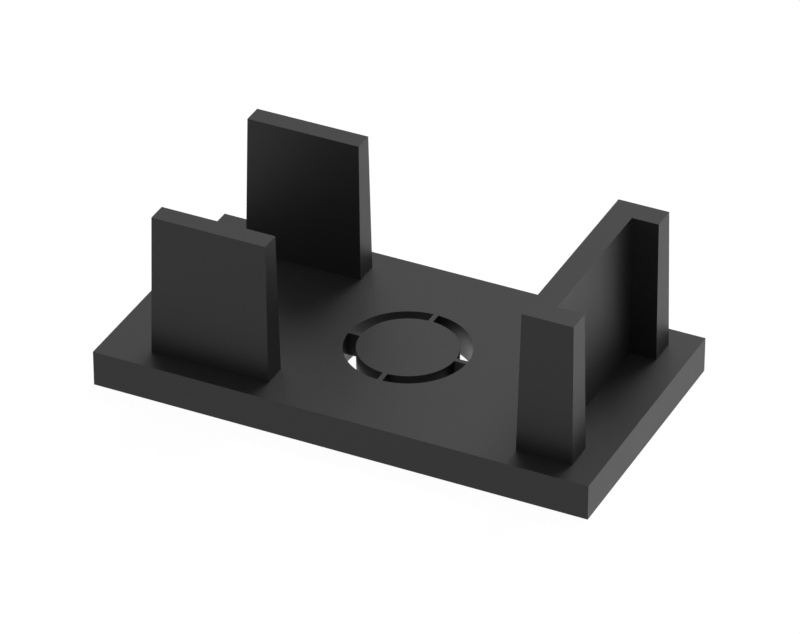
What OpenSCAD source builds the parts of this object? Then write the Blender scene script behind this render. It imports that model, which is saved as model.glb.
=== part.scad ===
// Moulded cap that closes the end of a profile. A flat plate covers the profile's end.
// Two flat tabs and a channel-shaped upstand push into the profile and hold by friction.
// A round knock-out, held by thin bridges, can be pushed out to lead a cable through.
// The origin is the middle of the plate's outer face. X runs along the plate towards the
// channel, Y runs across it, and Z points from the outer face into the profile.

/* [Plate] */
// Length of the plate
plate_l = 41.4; // [36:0.1:60]
// Width of the plate
plate_w = 22; // [18:0.5:40]
// Thickness of the plate
plate_t = 3; // [2:0.1:6]

/* [Upstands] */
// Height of the tabs and of the channel above the plate
upstand_h = 12; // [5:0.5:16]
// Distance from the plate's long edges to the tabs and to the channel, at their foot
side_inset = 2; // [1:0.1:4]
// Draft of every moulded upright face, in degrees
draft = 1; // [0:0.25:2]

/* [Tabs] */
// Distance from the plate's end to the tabs
tab_inset = 4; // [1:0.5:8]
// Length of a tab at its foot
tab_l = 10; // [4:0.5:14]
// Thickness of a tab at its foot
tab_t = 2.1; // [1.2:0.1:3]

/* [Channel] */
// Distance from the plate's other end to the channel's flanges
channel_inset = 2.2; // [1:0.1:4]
// Length of the channel along the plate, at its foot
channel_l = 4.6; // [3.5:0.1:7]
// Thickness of the channel's two flanges at their foot
flange_t = 2.4; // [1.2:0.1:3]
// Thickness of the channel's web at its foot
web_t = 2.4; // [1.2:0.1:3]

/* [Knock-out] */
// Distance from the plate's channel end to the middle of the knock-out
knockout_inset = 20; // [15:0.5:22]
// Diameter of the hole that stays when the disc is pushed out
hole_d = 10; // [6:0.5:12]
// Width of the ring-shaped slot around the disc
slot_w = 1; // [0.6:0.1:1.5]
// Thickness of the disc, down from the plate's inner face
disc_t = 2; // [1:0.1:3]
// Number of bridges
bridge_n = 4; // [2:1:6]
// Width of a bridge
bridge_w = 0.4; // [0.3:0.1:1]
// Depth of a bridge, down from the plate's inner face
bridge_t = 2; // [1:0.1:3]
// Radius of the hole's rounded rim on the outer face
rim_r = 0.5; // [0.2:0.1:1]

/* [Hidden] */
$fn = 96;
// How far an upright face leans in from its foot to its top
lean = upstand_h * tan(draft);
// How far a cutter runs past the face that it opens
overcut = 1;
// How far a bridge runs into the disc and into the plate
bridge_root = 0.3;
// The plate's two ends and its long edge
tab_end_x = -plate_l / 2;
channel_end_x = plate_l / 2;
edge_y = plate_w / 2;
// Outer faces of the tabs and flanges
side_y = edge_y - side_inset;
// The channel's web side and open side
channel_x0 = channel_end_x - channel_inset - channel_l;
channel_x1 = channel_end_x - channel_inset;
// Middle of the knock-out
knockout_x = channel_end_x - knockout_inset;
// Radii of the hole and of the disc at the plate's inner face
hole_r = hole_d / 2;
disc_r = hole_r - slot_w;

// Radius of the hole's drafted wall at height z
function hole_wall_r(z) = hole_r + (plate_t - z) * tan(draft);

// Outline of a drafted block seen from one side, from a to b at its foot
module block_side(a, b) {
    polygon([[a, 0], [b, 0], [b - lean, upstand_h], [a + lean, upstand_h]]);
}

// Block on the plate's inner face, whose four upright faces all lean in
module drafted_block(x0, x1, y0, y1) {
    translate([0, 0, plate_t])
        intersection() {
            translate([0, y1, 0])
                rotate([90, 0, 0])
                    linear_extrude(y1 - y0)
                        block_side(x0, x1);
            translate([x0, 0, 0])
                rotate([90, 0, 90])
                    linear_extrude(x1 - x0)
                        block_side(y0, y1);
        }
}

// Tab whose broad outer face stands side_inset in from the plate's long edge
module tab() {
    x0 = tab_end_x + tab_inset;
    drafted_block(x0, x0 + tab_l, side_y - tab_t, side_y);
}

// Channel with its back to the tabs and its open side to the plate's end
module channel() {
    drafted_block(channel_x0, channel_x0 + web_t, -side_y, side_y);
    for (side = [0, 1])
        mirror([0, side, 0])
            drafted_block(channel_x0, channel_x1, side_y - flange_t, side_y);
}

// Cutter for the hole: a drafted wall that opens towards the outer face into a round rim
module hole_cutter() {
    rim_centre_r = hole_wall_r(rim_r) + rim_r;
    translate([0, 0, -overcut])
        cylinder(
            h = plate_t + 2 * overcut,
            r1 = hole_wall_r(-overcut),
            r2 = hole_wall_r(plate_t + overcut)
        );
    rotate_extrude()
        difference() {
            translate([disc_r, -overcut])
                square([rim_centre_r - disc_r, rim_r + overcut]);
            translate([rim_centre_r, rim_r])
                circle(r = rim_r);
        }
}

// Disc that closes the hole, flush with the plate's inner face
module disc() {
    translate([0, 0, plate_t - disc_t])
        cylinder(h = disc_t, r1 = disc_r - disc_t * tan(draft), r2 = disc_r);
}

// Bars across the slot that hold the disc until it is pushed out
module bridges() {
    for (i = [0 : bridge_n - 1])
        rotate([0, 0, i * 360 / bridge_n])
            translate([disc_r - bridge_root, -bridge_w / 2, plate_t - bridge_t])
                cube([slot_w + 2 * bridge_root, bridge_w, bridge_t]);
}

// Flat plate with the knock-out
module plate() {
    difference() {
        translate([tab_end_x, -edge_y, 0])
            cube([plate_l, plate_w, plate_t]);
        translate([knockout_x, 0, 0])
            hole_cutter();
    }
    translate([knockout_x, 0, 0]) {
        disc();
        bridges();
    }
}

// The whole cap, moulded in one piece
module end_cap() {
    color("#2b2b2d")
        union() {
            plate();
            for (side = [0, 1])
                mirror([0, side, 0])
                    tab();
            channel();
        }
}

end_cap();
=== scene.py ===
# The looks of a moulded end cap for a framing profile, on a white studio floor.
# Everything is in metres, in the cap's own frame: the middle of the plate's outer face is the
# origin, +X runs towards the channel, and +Z points up, the way the cap goes into its profile.
import math

import bmesh
import bpy
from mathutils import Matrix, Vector

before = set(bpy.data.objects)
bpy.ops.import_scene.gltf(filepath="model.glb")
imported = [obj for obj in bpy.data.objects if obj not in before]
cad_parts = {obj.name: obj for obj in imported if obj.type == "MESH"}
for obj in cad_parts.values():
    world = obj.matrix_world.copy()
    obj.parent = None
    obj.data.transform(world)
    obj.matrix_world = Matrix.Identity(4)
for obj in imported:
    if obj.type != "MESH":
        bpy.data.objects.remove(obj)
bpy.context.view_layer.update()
scene = bpy.context.scene
scene.view_settings.view_transform = "Standard"


# End cap
# One piece of black plastic, moulded whole: plate, two tabs, channel and knock-out, all with
# sharp edges. The mould's fine matt finish leaves a shallow grain all over it.
end_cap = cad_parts["end_cap"]
deep_black = (0.004, 0.004, 0.004, 1)
pale_black = (0.006, 0.006, 0.006, 1)
plastic_ior = 1.6
mottle_size = 0.004
smooth_spot = 0.46
rough_spot = 0.50
grain_size = 0.00012
grain_depth = 0.000008


def lumps(tree, size):
    """Noise fixed to the piece, whose lumps are about size metres across."""
    place = tree.nodes.new("ShaderNodeTexCoord")
    noise = tree.nodes.new("ShaderNodeTexNoise")
    noise.inputs["Scale"].default_value = 1 / size
    tree.links.new(place.outputs["Object"], noise.inputs["Vector"])
    return noise.outputs["Fac"]


plastic = bpy.data.materials.new("black_plastic")
plastic.use_nodes = True
tree = plastic.node_tree
shader = tree.nodes["Principled BSDF"]
shader.inputs["IOR"].default_value = plastic_ior

mottle = lumps(tree, mottle_size)
tint = tree.nodes.new("ShaderNodeMix")
tint.data_type = "RGBA"
tint.inputs["A"].default_value = deep_black
tint.inputs["B"].default_value = pale_black
tree.links.new(mottle, tint.inputs["Factor"])
tree.links.new(tint.outputs["Result"], shader.inputs["Base Color"])
finish = tree.nodes.new("ShaderNodeMapRange")
finish.inputs["To Min"].default_value = smooth_spot
finish.inputs["To Max"].default_value = rough_spot
tree.links.new(mottle, finish.inputs["Value"])
tree.links.new(finish.outputs["Result"], shader.inputs["Roughness"])

grain = tree.nodes.new("ShaderNodeBump")
grain.inputs["Distance"].default_value = grain_depth
tree.links.new(lumps(tree, grain_size), grain.inputs["Height"])
tree.links.new(grain.outputs["Normal"], shader.inputs["Normal"])

end_cap.data.materials.clear()
end_cap.data.materials.append(plastic)


# Camera
# A long lens, 42.5 cm from the cap and 33 degrees above it, turned so that the plate's long edge
# and its channel end both face the view.
view_aim = Vector((-0.000479, 0.00104, 0.004801))
view_azimuth = -64.3314
view_elevation = 33.1963
view_distance = 0.425
nearest_seen = 0.01
# Lens and film are in millimetres, as on a real camera.
lens_length = 250.158
film_width = 36.0


def direction(azimuth, elevation):
    """Unit vector for an azimuth from +X towards +Y and an elevation above the floor, in degrees."""
    a, e = math.radians(azimuth), math.radians(elevation)
    return Vector((math.cos(a) * math.cos(e), math.sin(a) * math.cos(e), math.sin(e)))


camera_data = bpy.data.cameras.new("photo_view")
camera_data.sensor_width = film_width
camera_data.lens = lens_length
camera_data.clip_start = nearest_seen
camera = bpy.data.objects.new("photo_view", camera_data)
towards_camera = direction(view_azimuth, view_elevation)
camera.location = view_aim + view_distance * towards_camera
camera.rotation_euler = (math.radians(90 - view_elevation), 0, math.radians(90 + view_azimuth))
scene.collection.objects.link(camera)
scene.camera = camera


# Room
# A pale studio, seen as plain white. It lights the cap evenly from all round, and more from low
# down behind it, where a white table runs up into the backdrop.
room_level = 0.55
table_level = 1.52
table_side = direction(azimuth=121, elevation=-51)
table_falloff = 4.1


def worked_out(tree, operation, *values):
    """Output of a Math node. Each value is a number or the socket that gives it."""
    node = tree.nodes.new("ShaderNodeMath")
    node.operation = operation
    for socket, value in zip(node.inputs, values):
        if isinstance(value, bpy.types.NodeSocket):
            tree.links.new(value, socket)
        else:
            socket.default_value = value
    return node.outputs[0]


def seen_directly(tree):
    """1 where the camera looks, straight or through glass, and 0 for light and gloss."""
    ray = tree.nodes.new("ShaderNodeLightPath")
    return worked_out(tree, "MAXIMUM", ray.outputs["Is Camera Ray"], ray.outputs["Is Transmission Ray"])


room = bpy.data.worlds.new("pale_studio")
scene.world = room
room.use_nodes = True
tree = room.node_tree
tree.nodes.clear()
outward = tree.nodes.new("ShaderNodeTexCoord")
towards_table = tree.nodes.new("ShaderNodeVectorMath")
towards_table.operation = "DOT_PRODUCT"
towards_table.inputs[1].default_value = table_side
tree.links.new(outward.outputs["Generated"], towards_table.inputs[0])
# The share runs from 0, straight away from the table, to 1 at the middle of it.
table_share = worked_out(tree, "MULTIPLY_ADD", towards_table.outputs["Value"], 0.5, 0.5)
table_glow = worked_out(tree, "POWER", table_share, table_falloff)
lighting = tree.nodes.new("ShaderNodeBackground")
room_light = worked_out(tree, "MULTIPLY_ADD", table_glow, table_level, room_level)
tree.links.new(room_light, lighting.inputs["Strength"])
white_view = tree.nodes.new("ShaderNodeBackground")
room_mix = tree.nodes.new("ShaderNodeMixShader")
tree.links.new(seen_directly(tree), room_mix.inputs["Fac"])
tree.links.new(lighting.outputs[0], room_mix.inputs[1])
tree.links.new(white_view.outputs[0], room_mix.inputs[2])
room_output = tree.nodes.new("ShaderNodeOutputWorld")
tree.links.new(room_mix.outputs[0], room_output.inputs["Surface"])


# Lamps
# Two large round softboxes, 3 m from the cap and 24 degrees across as it sees them: the main one
# high behind it, and a weaker one overhead.
lamp_distance = 3.0
lamp_half_angle = 12


def softbox(name, azimuth, elevation, radiance):
    """Round lamp that faces the cap from its direction, as bright as radiance."""
    radius = lamp_distance * math.tan(math.radians(lamp_half_angle))
    face_area = math.pi * radius ** 2
    lamp_data = bpy.data.lights.new(name, "AREA")
    lamp_data.shape = "DISK"
    lamp_data.size = 2 * radius
    # A flat lamp gives off pi times its radiance from each square metre of its face.
    lamp_data.energy = radiance * math.pi * face_area
    lamp = bpy.data.objects.new(name, lamp_data)
    towards_lamp = direction(azimuth, elevation)
    lamp.location = lamp_distance * towards_lamp
    lamp.rotation_euler = towards_lamp.to_track_quat("Z", "Y").to_euler()
    lamp.visible_camera = False
    scene.collection.objects.link(lamp)


softbox("main_softbox", azimuth=81, elevation=52, radiance=7.3)
softbox("top_softbox", azimuth=327, elevation=86, radiance=3.2)


# Floor
# A plain white floor of painted board. It looks white round the cap, keeps the cap's faint
# shadow, and lights the cap from below as white paint does. Gloss looks past it into the room,
# which is as pale below the floor as above.
floor_radius = 3.0
floor_sides = 64
floor_paint = (0.8, 0.8, 0.8, 1)
floor_glow = 0.94
shadow_paint = (0.1, 0.1, 0.1, 1)

floor_mesh = bpy.data.meshes.new("floor")
floor_shape = bmesh.new()
bmesh.ops.create_circle(floor_shape, cap_ends=True, segments=floor_sides, radius=floor_radius)
floor_shape.to_mesh(floor_mesh)
floor_shape.free()
floor = bpy.data.objects.new("floor", floor_mesh)
floor.visible_glossy = False
scene.collection.objects.link(floor)

white_floor = bpy.data.materials.new("white_floor")
white_floor.use_nodes = True
tree = white_floor.node_tree
tree.nodes.clear()
lit_floor = tree.nodes.new("ShaderNodeBsdfDiffuse")
lit_floor.inputs["Color"].default_value = floor_paint
# The camera sees a glow just under white, and a dark paint whose light makes it white everywhere
# but in the cap's shadow.
glow = tree.nodes.new("ShaderNodeEmission")
glow.inputs["Strength"].default_value = floor_glow
shadow = tree.nodes.new("ShaderNodeBsdfDiffuse")
shadow.inputs["Color"].default_value = shadow_paint
seen_floor = tree.nodes.new("ShaderNodeAddShader")
tree.links.new(glow.outputs[0], seen_floor.inputs[0])
tree.links.new(shadow.outputs[0], seen_floor.inputs[1])
floor_mix = tree.nodes.new("ShaderNodeMixShader")
tree.links.new(seen_directly(tree), floor_mix.inputs["Fac"])
tree.links.new(lit_floor.outputs[0], floor_mix.inputs[1])
tree.links.new(seen_floor.outputs[0], floor_mix.inputs[2])
floor_output = tree.nodes.new("ShaderNodeOutputMaterial")
tree.links.new(floor_mix.outputs[0], floor_output.inputs["Surface"])
floor_mesh.materials.append(white_floor)
